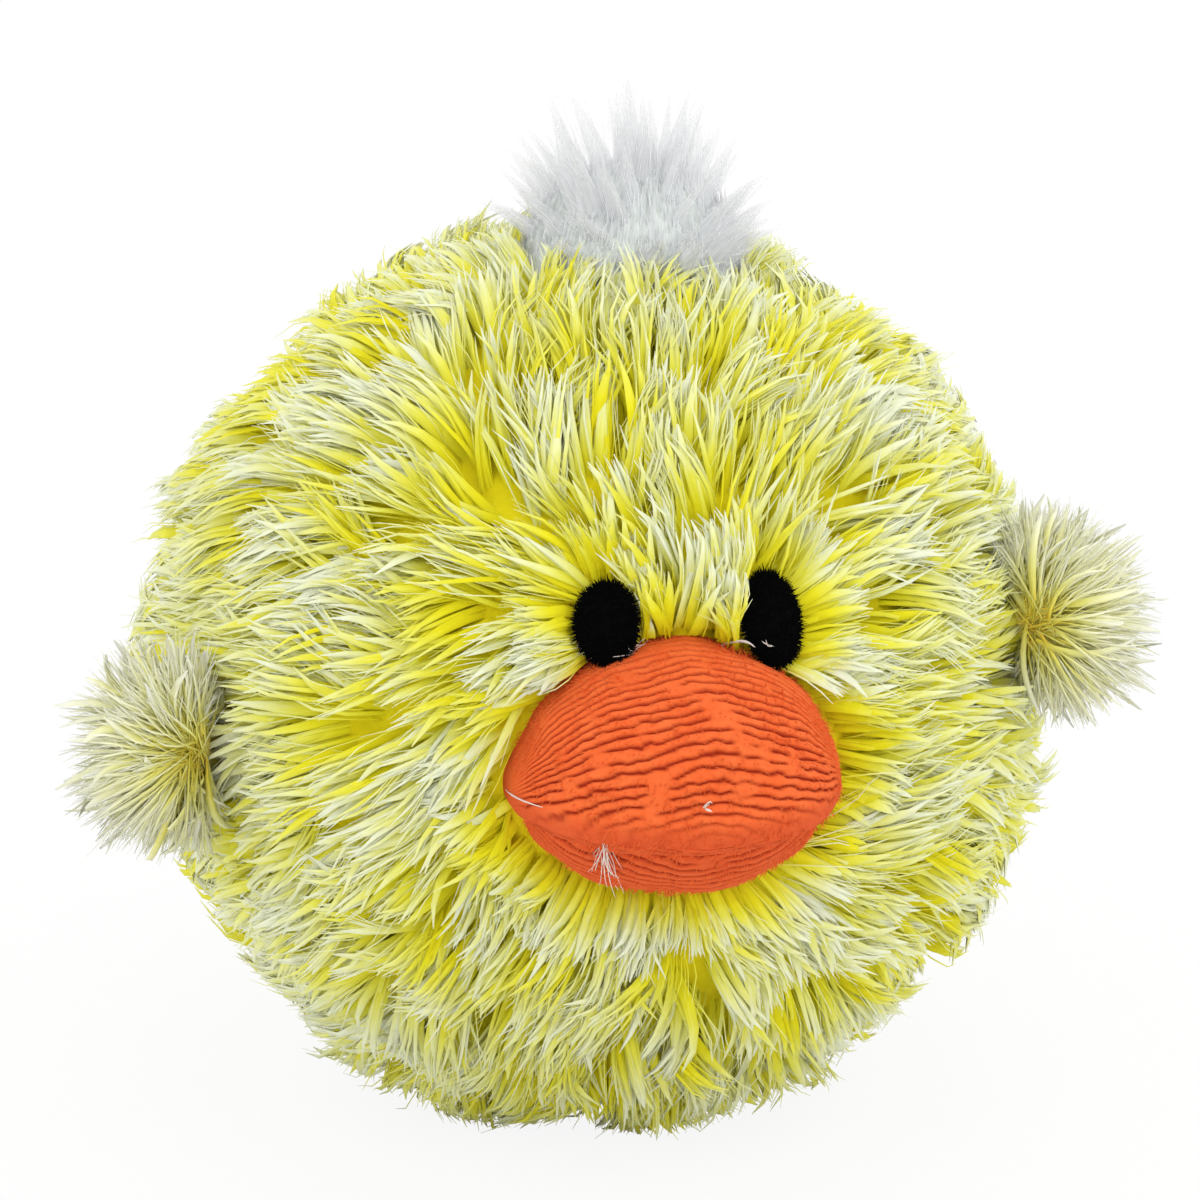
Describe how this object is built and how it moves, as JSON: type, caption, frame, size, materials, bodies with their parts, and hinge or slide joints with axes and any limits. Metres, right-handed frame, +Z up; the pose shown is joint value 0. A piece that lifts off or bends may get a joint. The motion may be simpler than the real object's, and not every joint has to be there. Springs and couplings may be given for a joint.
{
  "type": "plush ball dog toy",
  "caption": "Round long-pile plush chick ball for dogs, with a padded bill, oval eyes, a crown tuft, flapping wing nubs and a squeaker in its fibrefill.",
  "frame": {"origin": "on the floor under the middle of the toy's own box", "axes": "+Z up out of the crown, the face towards -Y, +X towards the toy's own left wing"},
  "size_m": [0.1244, 0.1174, 0.1193],
  "materials": {
    "yellow_pile": "long frosted plush pile, yellow at the root and cream at the tip",
    "white_felt": "white felt",
    "white_pile": "fine white long pile",
    "black_pile": "matt black short pile",
    "orange_plush": "ribbed short orange plush",
    "yellow_tape": "folded woven cloth",
    "fibrefill": "loose polyester wadding",
    "pale_plastic": "moulded hard plastic",
    "soft_plastic": "blow-moulded soft plastic",
    "red_plastic": "moulded hard plastic",
    "reed_metal": "thin rolled strip"
  },
  "bodies": {
    "ball": {"cover_gore_front_left": "yellow_pile", "cover_gore_side_left": "yellow_pile", "cover_gore_rear_left": "yellow_pile", "cover_gore_rear_right": "yellow_pile", "cover_gore_side_right": "yellow_pile", "cover_gore_front_right": "yellow_pile", "crown_patch": "white_felt", "crown_tuft": "white_pile", "eye_left": "black_pile", "eye_right": "black_pile", "bill_upper": "orange_plush", "bill_lower": "orange_plush", "bill_fill": "fibrefill", "wing_left_tab": "yellow_tape", "wing_right_tab": "yellow_tape", "stuffing_upper": "fibrefill", "stuffing_lower": "fibrefill", "squeaker_base": "pale_plastic", "squeaker_bellows": "soft_plastic", "reed_plug": "red_plastic", "reed": "reed_metal", "reed_clip": "red_plastic"},
    "wing_left": {"wing_left_front": "yellow_pile", "wing_left_back": "yellow_pile"},
    "wing_right": {"wing_right_front": "yellow_pile", "wing_right_back": "yellow_pile"},
    "squeaker_plate": {"squeaker_top": "pale_plastic"}
  },
  "joints": [
    {"name": "wing_left_flap", "type": "hinge", "parent": "ball", "child": "wing_left", "pos_m": [0.04963, -0.01826, 0.06408], "axis": [-0.1974, 0.1006, 0.9751], "range_deg": [-35, 35], "stiffness_Nm_per_rad": 0.002},
    {"name": "wing_right_flap", "type": "hinge", "parent": "ball", "child": "wing_right", "pos_m": [-0.0495, -0.01362, 0.05228], "axis": [0.0065, 0.0025, 1], "range_deg": [-35, 35], "stiffness_Nm_per_rad": 0.002},
    {"name": "squeaker_press", "type": "slide", "parent": "ball", "child": "squeaker_plate", "axis": [0, 0, -1], "range_m": [0, 0.009], "stiffness_N_per_m": 300, "springref_m": -0.001, "deforming": ["squeaker_bellows"]}
  ]
}
